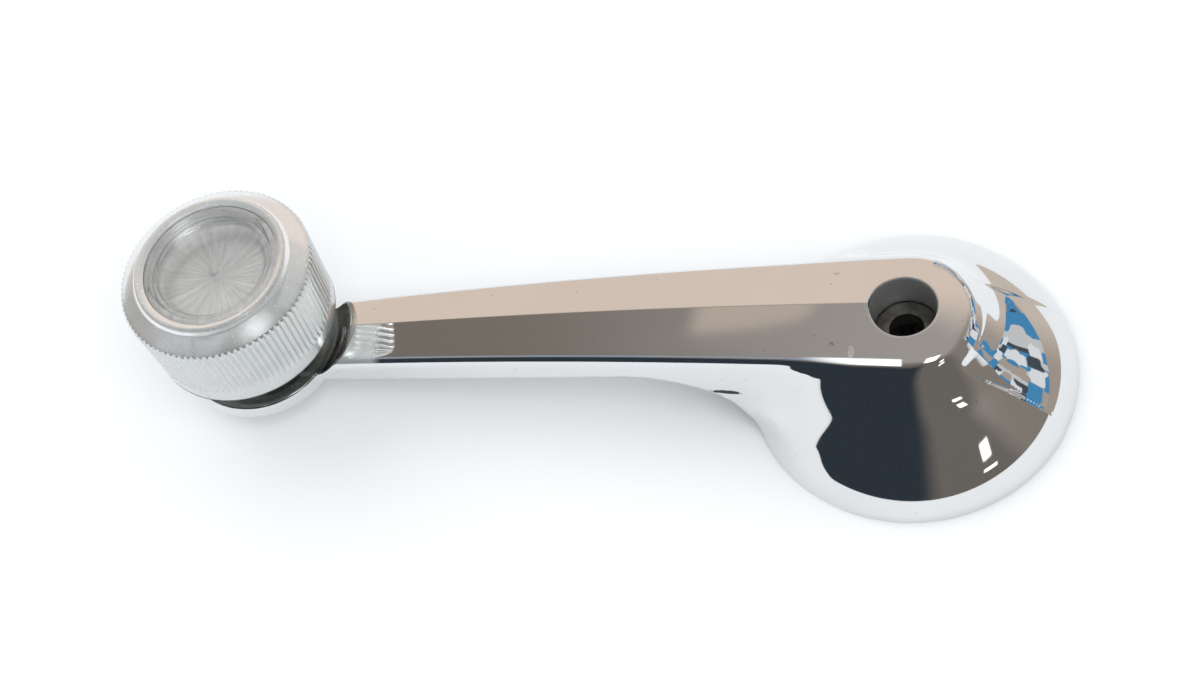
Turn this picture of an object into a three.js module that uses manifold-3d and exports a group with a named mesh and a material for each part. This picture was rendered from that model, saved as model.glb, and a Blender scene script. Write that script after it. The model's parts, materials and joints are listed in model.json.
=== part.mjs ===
// Vehicle window crank: a chromed die-cast arm with a bell-shaped hub, a serrated
// drive sleeve, and a clear knurled knob that turns on a riveted spindle.
// Millimetres. The origin is on the hub axis, at the plane of the bell's rim.
// +Z runs out of the door along the hub axis, and the arm runs along -X to the knob.

import * as THREE from 'three';
import { mergeVertices } from 'three/addons/utils/BufferGeometryUtils.js';
import Module from 'manifold-3d';

const wasm = await Module();
wasm.setup();

// ---- Driving dimensions ----------------------------------------------------------

const THROW = 106.2;           // hub axis to knob axis
const GAP = 0.3;               // space left between pieces that touch

// Bell of the hub
const BELL_R = 25.4;           // radius of the rim
const BELL_LIP = 1.5;          // upright lip at the rim
const SKIRT_DRAFT = 1.9;       // how far the skirt leans in up to the crease
const CREASE_Z = 5.0;          // height of the crease between skirt and dome
const DOME_RISE = 11.0;        // height of the dome over the crease, where it meets the nose
const DOME_BULGE = 0.9;        // how far the middle of the dome stands above a straight cone
const WALL = 2.2;              // casting wall
const RIM_BREAK = 0.5;         // break on the outer edge of the rim

// Nose and the hole for the retaining screw
const HUB_TOP_Z = 22.5;        // rim of the hole, the highest point of the casting
const NOSE_R = 9.7;            // radius of the rounded end of the arm over the hub
const NOSE_FALL = 2.3;         // how far the nose's edge lies below its middle
const NOSE_FLANK = 4.2;        // width of the sloped flank between the nose's edge and the dome
const NOSE_FLANK_DEPTH = 6.0;  // height of that flank
const SCREW_BORE_R = 5.0;      // counterbore for the screw head
const SEAT_Z = 14.8;           // height of the seat for the screw head
const SEAT_STEP = 0.6;         // the seat stands this far over the sleeve's shoulder, in the screw bore

// Arm: a shallow roof section with a ridge along its middle
const ARM_ROOT_HALF = 10.0;    // half-width at the hub axis
const ARM_END_HALF = 5.4;      // half-width at the knob axis
const RIDGE_FALL = 9.2;        // fall of the ridge from the hub axis to the knob axis
const RIDGE_SLOPE_SHARE = 0.32;  // share of that fall that is a straight slope
const EDGE_FALL = 8.3;         // the same for the two long edges
const EDGE_SLOPE_SHARE = 0.06;
const EDGE_ROUND = 1.5;        // radius along the two long edges
const ARCH_REACH = 18.6;       // length of the arch between the arm and the bell
const ARCH_TOP_Z = 14.2;       // height of the crown of that arch
const ARCH_INSET = 2.0;        // how far inside the rim's circle the arch comes down

// Pad under the knob
const PAD_R = 12.9;
const PAD_BOTTOM_Z = 7.7;
const PAD_THICKNESS = 3.2;
const PAD_BREAK = 0.5;         // break on the pad's edges
const COVE_STEP = 0.3;         // flat ring of the pad outside its own radius, at the cove's foot
const COVE_WIDTH = 4.0;        // the arm ends in a cove round the knob: its width
const COVE_RISE = 4.9;         // and its height

// Drive sleeve
const SLEEVE_R = 6.3;
const SLEEVE_FOOT_Z = 1.0;     // how far the sleeve stands back from the rim
const BOSS_WALL = 2.0;         // casting round the sleeve
const SPLINE_TEETH = 20;
const SPLINE_WALL = 1.35;      // sleeve wall behind the roots of the splines
const SPLINE_DEPTH = 0.55;     // depth of the splines
const SEAT_THICKNESS = 3.0;    // end wall of the sleeve, which the screw head pulls on
const SCREW_HOLE_R = 2.7;

// Spindle and its washers
const SPINDLE_R = 3.4;
const COLLAR_WIDTH = 2.2;      // collar that stands on the pad
const COLLAR_THICKNESS = 1.0;
const HEAD_WIDTH = 2.0;        // head that keeps the knob on
const HEAD_THICKNESS = 1.6;
const HEAD_BREAK = 0.7;
const HEAD_ROOM = 0.4;         // space over the head
const TAIL_R = 2.9;            // tail that is riveted over under the pad
const RIVET_WIDTH = 1.9;
const RIVET_THICKNESS = 0.9;
const RECESS_DEPTH = 1.4;      // recess in the pad's underside for the riveted end
const WASHER_WIDTH = 2.5;
const WASHER_THICKNESS = 0.6;
const WAVE_THICKNESS = 0.4;
const WAVE_HEIGHT = 0.35;      // how far each crest of the spring washer rises
const WAVE_COUNT = 3;

// Bushing in the knob
const BUSHING_WALL = 1.5;
const FLANGE_WIDTH = 1.8;      // flange at the foot of the bushing
const FLANGE_THICKNESS = 1.0;

// Knob
const LENS_R = 10.9;
const BEAD_WALL = 0.6;         // wall between the lens and the crest of the bead
const SHOULDER_WIDTH = 3.9;    // from the crest of the bead out to the knurl
const SHOULDER_BREAK = 0.6;
const SKIRT_TAPER = 0.5;       // how much narrower the knob is at its lower edge
const HUB_DROP = 3.9;          // how far the knob's hub reaches below its lower edge
const HUB_WALL = 2.1;          // hub wall round the bushing's flange
const HUB_CONE = 1.6;          // height of the cone between the hub and the lower edge
const KNURL_HEIGHT = 14.6;     // from the lower edge up to the shoulder
const BEAD_RISE = 2.8;         // from the shoulder up to the crest of the bead
const BEAD_WIDTH = 0.6;
const LENS_EDGE_DROP = 0.5;    // lens edge below the bead
const LENS_RIM = 1.2;          // flat rim of the lens
const DISH_DEPTH = 2.1;        // middle of the dish below the lens edge
const LENS_THICKNESS = 1.2;    // at the middle of the dish
const REFLECTOR_THICKNESS = 0.5;
const REFLECTOR_HOLLOW = 0.5;  // how deep the reflector is dished
const REFLECTOR_RIM = 2.0;     // width of its raised rim

const ROUND_STEPS = 64;
const SMALL_STEPS = 40;
const WAVE_STEPS = 48;

// ---- Solids ----------------------------------------------------------------------

function closedMesh(geometry) {
  const plain = geometry.clone();
  plain.deleteAttribute('normal');
  plain.deleteAttribute('uv');
  const merged = mergeVertices(plain, 1e-4);
  const corners = merged.index.array;
  const kept = [];
  for (let i = 0; i < corners.length; i += 3) {
    const [a, b, c] = corners.slice(i, i + 3);
    if (a !== b && b !== c && c !== a) kept.push(a, b, c);
  }
  merged.setIndex(kept);
  return merged;
}

function solid(geometry) {
  const closed = closedMesh(geometry);
  return new wasm.Manifold(new wasm.Mesh({
    numProp: 3,
    vertProperties: Float32Array.from(closed.attributes.position.array),
    triVerts: Uint32Array.from(closed.index.array),
  }));
}

function geometryOf(manifold) {
  const mesh = manifold.getMesh();
  const geometry = new THREE.BufferGeometry();
  geometry.setAttribute('position', new THREE.BufferAttribute(mesh.vertProperties, 3));
  geometry.setIndex(new THREE.BufferAttribute(mesh.triVerts, 1));
  geometry.computeVertexNormals();
  return geometry;
}

// A turned solid on an upright axis. The outline is [radius, height] pairs, from the
// bottom of the axis outwards and up, and back to the axis or to its own start.
function turned(outline, steps = ROUND_STEPS, x = 0) {
  const points = outline.map(([r, z]) => new THREE.Vector2(r, z));
  return new THREE.LatheGeometry(points, steps).rotateX(Math.PI / 2).translate(x, 0, 0);
}

// A ring with a plain rectangular section.
function ringOutline(inner, outer, low, high) {
  return [[inner, low], [outer, low], [outer, high], [inner, high], [inner, low]];
}

function disc(radius, low, high, x = 0) {
  return turned([[0, low], [radius, low], [radius, high], [0, high]], SMALL_STEPS, x);
}

// A block whose corners are moved to where place(x, across, up) says: x is one of the
// stations, across goes from -1 to 1 through the given steps, and up is 0 or 1.
function shapedBlock(stations, acrossSteps, place) {
  const lengths = stations.length - 1;
  const widths = acrossSteps.length - 1;
  const block = new THREE.BoxGeometry(lengths, widths, 1, lengths, widths, 1);
  block.translate(lengths / 2, widths / 2, 0.5);
  const corners = block.attributes.position;
  for (let i = 0; i < corners.count; i += 1) {
    const x = stations[Math.round(corners.getX(i))];
    const across = acrossSteps[Math.round(corners.getY(i))];
    const [px, py, pz] = place(x, across, corners.getZ(i));
    corners.setXYZ(i, px, py, pz);
  }
  return block;
}

function evenSteps(from, to, count) {
  return Array.from({ length: count + 1 }, (_, i) => from + ((to - from) * i) / count);
}

// ---- Crank arm: one casting ------------------------------------------------------

const PAD_TOP_Z = PAD_BOTTOM_Z + PAD_THICKNESS;
const CREASE_R = BELL_R - SKIRT_DRAFT;
const DOME_TOP_R = NOSE_R + NOSE_FLANK / 3;
const DOME_TOP_Z = CREASE_Z + DOME_RISE;
const ARCH_END_X = -(BELL_R - ARCH_INSET);       // where the arch meets the bell's rim
const ARCH_START_X = ARCH_END_X - ARCH_REACH;    // where it leaves the arm
const BORE_R = SLEEVE_R + GAP;
const SLEEVE_SHOULDER_Z = SEAT_Z - SEAT_STEP;
const BOSS_R = BORE_R + BOSS_WALL;
const RIVET_R = TAIL_R + RIVET_WIDTH;

// A fall from the hub axis (x = 0) to the knob axis, partly a slope and partly a curve.
function fall(x, total, slopeShare) {
  const along = -x / THROW;
  return total * (slopeShare * along + (1 - slopeShare) * along * along);
}

const halfWidth = (x) => ARM_ROOT_HALF + ((ARM_ROOT_HALF - ARM_END_HALF) * x) / THROW;
const ridgeHeight = (x) => HUB_TOP_Z - fall(x, RIDGE_FALL, RIDGE_SLOPE_SHARE);
const edgeHeight = (x) => HUB_TOP_Z - NOSE_FALL - fall(x, EDGE_FALL, EDGE_SLOPE_SHARE);

function roofHeight(x, across) {
  const ridge = ridgeHeight(x);
  const flat = ridge + (edgeHeight(x) - ridge) * Math.abs(across);
  const inset = halfWidth(x) * (1 - Math.abs(across));
  if (inset >= EDGE_ROUND) return flat;
  return flat - EDGE_ROUND + Math.sqrt(EDGE_ROUND ** 2 - (EDGE_ROUND - inset) ** 2);
}

// Height of the arm's lower rim: a straight run from the pad, then an arch to the bell.
function rimHeight(x) {
  if (x >= ARCH_END_X) return 0;
  const slope = (ARCH_TOP_Z - PAD_BOTTOM_Z) / (ARCH_START_X + THROW);
  if (x <= ARCH_START_X) return PAD_BOTTOM_Z + slope * (x + THROW);
  return ARCH_TOP_Z * Math.sqrt(1 - ((x - ARCH_START_X) / ARCH_REACH) ** 2);
}

const armStations = [
  ...evenSteps(-THROW, ARCH_START_X, 8),
  ...evenSteps(0, Math.PI / 2, 8).slice(1).map((a) => ARCH_START_X + ARCH_REACH * Math.sin(a)),
  -NOSE_R,
  0,
];
const roundInset = EDGE_ROUND / ARM_END_HALF;
const roundSteps = [1 - roundInset, 1 - roundInset * 0.3, 1];
const outerAcross = [...roundSteps.map((s) => -s).reverse(), 0, ...roundSteps];

function armOuter() {
  return solid(shapedBlock(armStations, outerAcross, (x, across, up) => [
    x,
    across * halfWidth(x),
    up > 0.5 ? roofHeight(x, across) : rimHeight(x),
  ]));
}

// The channel under the arm leaves a wall along both sides, over the top and at the pad.
// It stops at the bell, whose wall goes all the way round.
function armChannel() {
  const start = -THROW + PAD_R + WALL;
  const stations = [start, ...armStations.filter((x) => x > start + WALL)];
  return solid(shapedBlock(stations, [-1, 0, 1], (x, across, up) => {
    const side = halfWidth(x) - WALL;
    const roof = roofHeight(x, (across * side) / halfWidth(x)) - WALL;
    return [x, across * side, up > 0.5 ? roof : -1];
  })).subtract(bellOuter()).subtract(nose());
}

// Points along the dome, from the crease up to where it runs under the nose.
function domeArc(inset, steps) {
  const shift = inset * Math.SQRT1_2;   // the dome leans at about 45 degrees
  return evenSteps(0, 1, steps).map((t) => {
    const r = CREASE_R + (DOME_TOP_R - CREASE_R) * t;
    const z = CREASE_Z + (DOME_TOP_Z - CREASE_Z) * t + DOME_BULGE * 4 * t * (1 - t);
    return [r - shift, z - shift];
  });
}

function bellOuter() {
  return solid(turned([
    [0, 0],
    [BELL_R - RIM_BREAK, 0],
    [BELL_R, RIM_BREAK],
    [BELL_R, BELL_LIP],
    ...domeArc(0, 8),
    [0, DOME_TOP_Z],
  ]));
}

function bellInner() {
  return solid(turned([
    [0, -1],
    [BELL_R - WALL, -1],
    [BELL_R - WALL, BELL_LIP],
    ...domeArc(WALL, 6),
    [0, DOME_TOP_Z - WALL * Math.SQRT1_2],
  ]));
}

function nose() {
  const edgeZ = HUB_TOP_Z - NOSE_FALL;
  const footZ = edgeZ - NOSE_FLANK_DEPTH;
  return solid(turned([
    [0, footZ],
    [NOSE_R + NOSE_FLANK, footZ],
    [NOSE_R + NOSE_FLANK * 0.1, edgeZ - NOSE_FLANK_DEPTH * 0.1],
    [NOSE_R - EDGE_ROUND * 0.3, edgeZ],
    [NOSE_R - EDGE_ROUND, edgeZ + EDGE_ROUND * 0.3],
    [SCREW_BORE_R - GAP, HUB_TOP_Z],
    [0, HUB_TOP_Z],
  ]));
}

function pad() {
  return solid(turned([
    [0, PAD_BOTTOM_Z],
    [PAD_R - PAD_BREAK, PAD_BOTTOM_Z],
    [PAD_R, PAD_BOTTOM_Z + PAD_BREAK],
    [PAD_R, PAD_TOP_Z - PAD_BREAK],
    [PAD_R - PAD_BREAK, PAD_TOP_Z],
    [0, PAD_TOP_Z],
  ], ROUND_STEPS, -THROW));
}

// Room for the knob over the pad, with the cove that the arm ends in.
function knobRoom() {
  const footR = PAD_R + COVE_STEP;
  return solid(turned([
    [0, PAD_TOP_Z],
    [footR, PAD_TOP_Z],
    [footR + COVE_WIDTH * 0.15, PAD_TOP_Z + COVE_RISE * 0.06],
    [footR + COVE_WIDTH * 0.55, PAD_TOP_Z + COVE_RISE * 0.42],
    [footR + COVE_WIDTH, PAD_TOP_Z + COVE_RISE],
    [footR + COVE_WIDTH, HUB_TOP_Z],
    [0, HUB_TOP_Z],
  ], ROUND_STEPS, -THROW));
}

function crankArm() {
  const outer = armOuter().add(nose()).add(bellOuter()).subtract(knobRoom()).add(pad());
  const shell = outer.subtract(bellInner()).subtract(armChannel());
  const boss = solid(disc(BOSS_R, SLEEVE_FOOT_Z, DOME_TOP_Z));
  const sleeveBore = solid(disc(BORE_R, -1, SLEEVE_SHOULDER_Z + GAP));
  const screwBore = solid(disc(SCREW_BORE_R, SLEEVE_SHOULDER_Z, HUB_TOP_Z + 1));
  const tailHole = solid(disc(TAIL_R + GAP, PAD_BOTTOM_Z - 1, PAD_TOP_Z + 1, -THROW));
  const recess = solid(disc(RIVET_R + GAP, PAD_BOTTOM_Z - 1, PAD_BOTTOM_Z + RECESS_DEPTH, -THROW));
  return geometryOf(shell.add(boss)
    .subtract(sleeveBore)
    .subtract(screwBore)
    .subtract(tailHole)
    .subtract(recess));
}

// ---- Drive sleeve ----------------------------------------------------------------

function splineShape() {
  const shape = new THREE.Shape();
  const rootR = SLEEVE_R - SPLINE_WALL;
  const tipR = rootR - SPLINE_DEPTH;
  const half = Math.PI / SPLINE_TEETH;
  for (let i = 0; i < SPLINE_TEETH; i += 1) {
    const angle = 2 * half * i;
    const root = [rootR * Math.cos(angle), rootR * Math.sin(angle)];
    const tip = [tipR * Math.cos(angle + half), tipR * Math.sin(angle + half)];
    if (i === 0) shape.moveTo(...root);
    else shape.lineTo(...root);
    shape.lineTo(...tip);
  }
  shape.closePath();
  return shape;
}

function splineSleeve() {
  const depth = SEAT_Z - SEAT_THICKNESS;
  const socket = new THREE.ExtrudeGeometry(splineShape(), { depth, bevelEnabled: false });
  return geometryOf(solid(disc(SLEEVE_R, SLEEVE_FOOT_Z, SLEEVE_SHOULDER_Z))
    .add(solid(disc(SCREW_BORE_R - GAP, SLEEVE_FOOT_Z, SEAT_Z)))
    .subtract(solid(socket))
    .subtract(solid(disc(SCREW_HOLE_R, 0, SEAT_Z + 1))));
}

// ---- Spindle, washers and bushing, all on the knob axis --------------------------

const COLLAR_FOOT_Z = PAD_TOP_Z + GAP;
const COLLAR_TOP_Z = COLLAR_FOOT_Z + COLLAR_THICKNESS;
const WASHER_FOOT_Z = COLLAR_TOP_Z + GAP;
const BUSHING_FOOT_Z = WASHER_FOOT_Z + WASHER_THICKNESS + GAP;
const BUSHING_BORE_R = SPINDLE_R + GAP;
const BUSHING_R = BUSHING_BORE_R + BUSHING_WALL;
const FLANGE_R = BUSHING_R + FLANGE_WIDTH;
const HEAD_R = SPINDLE_R + HEAD_WIDTH;
const RIVET_TOP_Z = PAD_BOTTOM_Z + RECESS_DEPTH - GAP;

// Heights of the knob, from its lower edge up, then down again to the room for the head
const KNOB_FOOT_Z = BUSHING_FOOT_Z + HUB_DROP;
const SHOULDER_Z = KNOB_FOOT_Z + KNURL_HEIGHT;
const BEAD_Z = SHOULDER_Z + BEAD_RISE;
const LENS_EDGE_Z = BEAD_Z - LENS_EDGE_DROP;
const DISH_Z = LENS_EDGE_Z - DISH_DEPTH;
const LENS_FOOT_Z = DISH_Z - LENS_THICKNESS;
const REFLECTOR_FOOT_Z = LENS_FOOT_Z - GAP - REFLECTOR_HOLLOW - REFLECTOR_THICKNESS;
const POCKET_FLOOR_Z = REFLECTOR_FOOT_Z - GAP;
const HEAD_TOP_Z = POCKET_FLOOR_Z - HEAD_ROOM;
const HEAD_FOOT_Z = HEAD_TOP_Z - HEAD_THICKNESS;
const WAVE_FOOT_Z = HEAD_FOOT_Z - GAP - WAVE_HEIGHT - WAVE_THICKNESS;
const BUSHING_TOP_Z = WAVE_FOOT_Z - GAP;

function knobSpindle() {
  return turned([
    [0, RIVET_TOP_Z - RIVET_THICKNESS],
    [TAIL_R + RIVET_WIDTH / 2, RIVET_TOP_Z - RIVET_THICKNESS],
    [RIVET_R, RIVET_TOP_Z - RIVET_THICKNESS / 2],
    [RIVET_R, RIVET_TOP_Z],
    [TAIL_R, RIVET_TOP_Z],
    [TAIL_R, COLLAR_FOOT_Z],
    [SPINDLE_R + COLLAR_WIDTH, COLLAR_FOOT_Z],
    [SPINDLE_R + COLLAR_WIDTH, COLLAR_TOP_Z],
    [SPINDLE_R, COLLAR_TOP_Z],
    [SPINDLE_R, HEAD_FOOT_Z],
    [HEAD_R, HEAD_FOOT_Z],
    [HEAD_R, HEAD_TOP_Z - HEAD_BREAK],
    [HEAD_R - HEAD_BREAK, HEAD_TOP_Z],
    [0, HEAD_TOP_Z],
  ], SMALL_STEPS, -THROW);
}

function thrustWasher() {
  const outer = BUSHING_BORE_R + WASHER_WIDTH;
  const top = WASHER_FOOT_Z + WASHER_THICKNESS;
  return turned(ringOutline(BUSHING_BORE_R, outer, WASHER_FOOT_Z, top), SMALL_STEPS, -THROW);
}

// A thin ring with crests and troughs, which keeps the knob from rattling.
function waveWasher() {
  const outline = ringOutline(BUSHING_BORE_R, BUSHING_R, WAVE_FOOT_Z, WAVE_FOOT_Z + WAVE_THICKNESS);
  const washer = turned(outline, WAVE_STEPS);
  const corners = washer.attributes.position;
  for (let i = 0; i < corners.count; i += 1) {
    const angle = Math.atan2(corners.getY(i), corners.getX(i));
    const rise = (WAVE_HEIGHT * (1 - Math.cos(WAVE_COUNT * angle))) / 2;
    corners.setZ(i, corners.getZ(i) + rise);
  }
  return washer.translate(-THROW, 0, 0);
}

function knobBushing() {
  const flangeTop = BUSHING_FOOT_Z + FLANGE_THICKNESS;
  return turned([
    [BUSHING_BORE_R, BUSHING_FOOT_Z],
    [FLANGE_R, BUSHING_FOOT_Z],
    [FLANGE_R, flangeTop],
    [BUSHING_R, flangeTop],
    [BUSHING_R, BUSHING_TOP_Z],
    [BUSHING_BORE_R, BUSHING_TOP_Z],
    [BUSHING_BORE_R, BUSHING_FOOT_Z],
  ], SMALL_STEPS, -THROW);
}

// ---- Knob ------------------------------------------------------------------------

const POCKET_R = LENS_R + GAP;
const BEAD_R = POCKET_R + BEAD_WALL;
const KNOB_R = BEAD_R + SHOULDER_WIDTH;
const CHAMBER_R = Math.max(HEAD_R, BUSHING_R) + HEAD_ROOM;

function knobBody() {
  const flangeRoom = FLANGE_R + GAP;
  const flangeRoofZ = BUSHING_FOOT_Z + FLANGE_THICKNESS + GAP;
  const boreR = BUSHING_R + GAP;
  const hubR = flangeRoom + HUB_WALL;
  const footR = KNOB_R - SKIRT_TAPER;
  return turned([
    [flangeRoom, BUSHING_FOOT_Z],
    [hubR, BUSHING_FOOT_Z],
    [hubR + SHOULDER_BREAK, KNOB_FOOT_Z - HUB_CONE],
    [footR - SHOULDER_BREAK, KNOB_FOOT_Z - SHOULDER_BREAK / 2],
    [footR, KNOB_FOOT_Z + SHOULDER_BREAK / 2],
    [KNOB_R, SHOULDER_Z - SHOULDER_BREAK],
    [KNOB_R - SHOULDER_BREAK, SHOULDER_Z],
    [BEAD_R + BEAD_WIDTH * 2, BEAD_Z - BEAD_RISE * 0.35],
    [BEAD_R + BEAD_WIDTH, BEAD_Z - BEAD_WIDTH / 2],
    [BEAD_R, BEAD_Z],
    [POCKET_R, BEAD_Z - BEAD_WALL / 2],
    [POCKET_R, POCKET_FLOOR_Z],
    [CHAMBER_R, POCKET_FLOOR_Z],
    [CHAMBER_R, BUSHING_TOP_Z],
    [boreR, BUSHING_TOP_Z],
    [boreR, flangeRoofZ],
    [flangeRoom, flangeRoofZ],
    [flangeRoom, BUSHING_FOOT_Z],
  ], ROUND_STEPS, -THROW);
}

function knobReflector() {
  const low = REFLECTOR_FOOT_Z;
  const high = REFLECTOR_FOOT_Z + REFLECTOR_HOLLOW;
  return turned([
    [0, low],
    [LENS_R - REFLECTOR_RIM, low],
    [LENS_R, high],
    [LENS_R, high + REFLECTOR_THICKNESS],
    [LENS_R - REFLECTOR_RIM, low + REFLECTOR_THICKNESS],
    [0, low + REFLECTOR_THICKNESS],
  ], SMALL_STEPS, -THROW);
}

function knobLens() {
  const dishR = LENS_R - LENS_RIM;
  const dish = evenSteps(dishR, 0, 5).map((r) => [r, DISH_Z + 0.8 * DISH_DEPTH * (r / dishR) ** 2]);
  return turned([
    [0, LENS_FOOT_Z],
    [LENS_R, LENS_FOOT_Z],
    [LENS_R, LENS_EDGE_Z],
    ...dish,
  ], SMALL_STEPS, -THROW);
}

// ---- Assembly --------------------------------------------------------------------

const crank = new THREE.Group();

function addPiece(name, geometry, color, roughness, metalness) {
  const material = new THREE.MeshStandardMaterial({ color, roughness, metalness });
  const mesh = new THREE.Mesh(closedMesh(geometry), material);
  mesh.name = name;
  crank.add(mesh);
}

addPiece('crank_arm', crankArm(), 0xb9b2ab, 0.08, 1);
addPiece('spline_sleeve', splineSleeve(), 0x8a8a86, 0.45, 1);
addPiece('knob_spindle', knobSpindle(), 0x9a9a9a, 0.35, 1);
addPiece('thrust_washer', thrustWasher(), 0x2b2825, 0.7, 0);
addPiece('wave_washer', waveWasher(), 0x77757a, 0.4, 1);
addPiece('knob_bushing', knobBushing(), 0xa8a8a4, 0.4, 1);
addPiece('knob_body', knobBody(), 0xd5dbd8, 0.1, 0);
addPiece('knob_reflector', knobReflector(), 0xc9c5c2, 0.3, 1);
addPiece('knob_lens', knobLens(), 0xdde2e0, 0.06, 0);

export default crank;
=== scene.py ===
"""A vehicle window crank: chromed casting, clear knurled knob and the pieces inside it.

The casting is one flowing shape, so its surface is written as a distance formula, and a
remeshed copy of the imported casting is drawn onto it. Everything that turns is spun.
"""

import json
import math

import bmesh
import bpy
import numpy as np
from mathutils import Matrix, Vector


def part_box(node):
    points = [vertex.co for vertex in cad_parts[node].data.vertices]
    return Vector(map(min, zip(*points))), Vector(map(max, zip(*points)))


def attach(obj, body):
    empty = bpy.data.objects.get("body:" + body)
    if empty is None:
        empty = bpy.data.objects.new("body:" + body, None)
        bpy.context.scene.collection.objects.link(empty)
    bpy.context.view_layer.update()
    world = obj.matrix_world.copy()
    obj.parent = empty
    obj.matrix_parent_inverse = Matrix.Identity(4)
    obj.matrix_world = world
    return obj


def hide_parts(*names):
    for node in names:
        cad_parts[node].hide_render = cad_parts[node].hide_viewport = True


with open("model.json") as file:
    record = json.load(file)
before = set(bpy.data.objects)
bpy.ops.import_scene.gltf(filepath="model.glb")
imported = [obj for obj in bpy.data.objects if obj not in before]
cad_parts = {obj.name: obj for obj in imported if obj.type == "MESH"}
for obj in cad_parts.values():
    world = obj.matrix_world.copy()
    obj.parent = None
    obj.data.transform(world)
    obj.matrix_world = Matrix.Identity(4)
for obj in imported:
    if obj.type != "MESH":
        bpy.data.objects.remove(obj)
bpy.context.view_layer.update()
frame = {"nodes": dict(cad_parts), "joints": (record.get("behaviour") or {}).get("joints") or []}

MM = 0.001

# ---- Sizes of the casting, in millimetres -------------------------------------------

THROW = -frame["joints"][0]["pos_m"][0] / MM   # hub axis to knob axis

BELL_R = 25.4            # rim of the bell
LIP = 1.6                # upright lip at the rim
CREASE_R = 23.5          # crease between the drafted skirt and the dome
CREASE_Z = 5.0
CREASE_ROUND = 0.5
DOME_ARC_R = 53.0        # the dome's outline is an arc of this radius
DOME_SLOPE = 50.0        # slope of that arc at the crease, in degrees
WALL = 2.2

HUB_TOP = 22.7           # where the ridge would meet the hub axis
NOSE_FALL = 2.5          # from there down to the edge of the nose
ARM_ROOT_HALF = 9.9
ARM_END_HALF = 5.5
RIDGE_FALL = 9.4         # fall of the ridge from the hub axis to the knob axis
RIDGE_SLOPE_SHARE = 0.32
EDGE_FALL = 8.4          # fall of the long edges
EDGE_SLOPE_SHARE = 0.06
EDGE_ROUND = 2.4         # blend along the long edges
NOSE_EDGE_ROUND = 1.1    # the edge is crisper round the nose
ARM_DRAFT = 0.09         # sideways lean of the arm's walls, per millimetre of height
NOSE_DRAFT = 0.70        # the same for the flank round the nose
FLANK_DEPTH = 6.5
WEB_BLEND = 12.0         # blend between the arm's walls and the bell
NOSE_BLEND = 2.2

ARCH_END_X = -23.4       # where the arch under the arm meets the rim
ARCH_REACH = 18.6
ARCH_TOP = 14.2

PAD_R = 12.9
PAD_LOW = 7.7
PAD_TOP = 10.9
COVE_WIDTH = 4.0
COVE_RISE = 4.9

BORE_R = 5.0             # counterbore for the screw head
SLEEVE_BORE_R = 6.6
SLEEVE_TOP = 14.5
BOSS_R = 8.6
BOSS_LOW = 1.0
BOSS_DRAFT = 0.02
CEILING = 13.4           # top of the hollow in the bell
TAIL_R = 3.2
RECESS_R = 5.1
RECESS_TOP = 9.1

SKIN_VOXEL = 0.44        # size of the quads in the casting's skin
RIDGE_ROWS = (-0.14, 0, 0.14)    # rows of points along the ridge, across it
UNDERSIDE_START = 0.35   # depth below the outer skin where the thin, dull plating begins
UNDERSIDE_FADE = 0.4


# ---- The casting's surface as a distance formula -------------------------------------

def smooth_max(a, b, blend):
    """The larger of two distances, with the edge between them rounded over."""
    near = np.clip(1 - np.abs(a - b) / blend, 0, 1)
    return np.maximum(a, b) + near ** 3 * blend / 6


def smooth_min(a, b, blend):
    return -smooth_max(-a, -b, blend)


def ease(low, high, value):
    t = np.clip((value - low) / (high - low), 0, 1)
    return t * t * (3 - 2 * t)


def fall(x, total, slope_share):
    along = -x / THROW
    return total * (slope_share * along + (1 - slope_share) * along * along)


def bell_shape(r, z, inset=0.0):
    """Lip, skirt and dome of the bell, or of its hollow when there is an inset."""
    draft = math.atan2(BELL_R - CREASE_R, CREASE_Z - LIP)
    skirt = (r - BELL_R) * math.cos(draft) + (z - LIP) * math.sin(draft)
    slope = math.radians(DOME_SLOPE)
    centre_r = CREASE_R - DOME_ARC_R * math.sin(slope)
    centre_z = CREASE_Z - DOME_ARC_R * math.cos(slope)
    dome = np.hypot(r - centre_r, z - centre_z) - DOME_ARC_R
    wall = smooth_max(r - BELL_R, skirt, 1.2)
    return smooth_max(wall, dome, CREASE_ROUND) + inset


def roof_height(x, y, half):
    """The shallow roof over the arm, which turns into a cone round the nose."""
    back = np.minimum(x, 0)
    ridge = HUB_TOP - fall(back, RIDGE_FALL, RIDGE_SLOPE_SHARE)
    edge = HUB_TOP - NOSE_FALL - fall(back, EDGE_FALL, EDGE_SLOPE_SHARE)
    out = np.hypot(np.maximum(x, 0), y)
    return ridge - (ridge - edge) * out / half, edge


def half_width(x):
    return ARM_ROOT_HALF + (ARM_ROOT_HALF - ARM_END_HALF) * np.minimum(x, 0) / THROW


def arch_shape(x, z):
    """The space under the arm: below a straight run from the pad, then below an arch."""
    start = ARCH_END_X - ARCH_REACH
    slope = (ARCH_TOP - PAD_LOW) / (start + THROW)
    straight = (z - PAD_LOW - slope * (x + THROW)) / math.hypot(1, slope)
    across = np.hypot((x - start) / ARCH_REACH, z / ARCH_TOP)
    arch = (across - 1) * ARCH_TOP * (0.55 + 0.45 * np.clip(across, 0, 2))
    return np.where(x < start, straight, arch)


def flank_depth(below_edge):
    """The flank leans out down to FLANK_DEPTH below the edge, and then drops straight."""
    return -smooth_max(-below_edge, -FLANK_DEPTH, 4.0)


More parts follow.
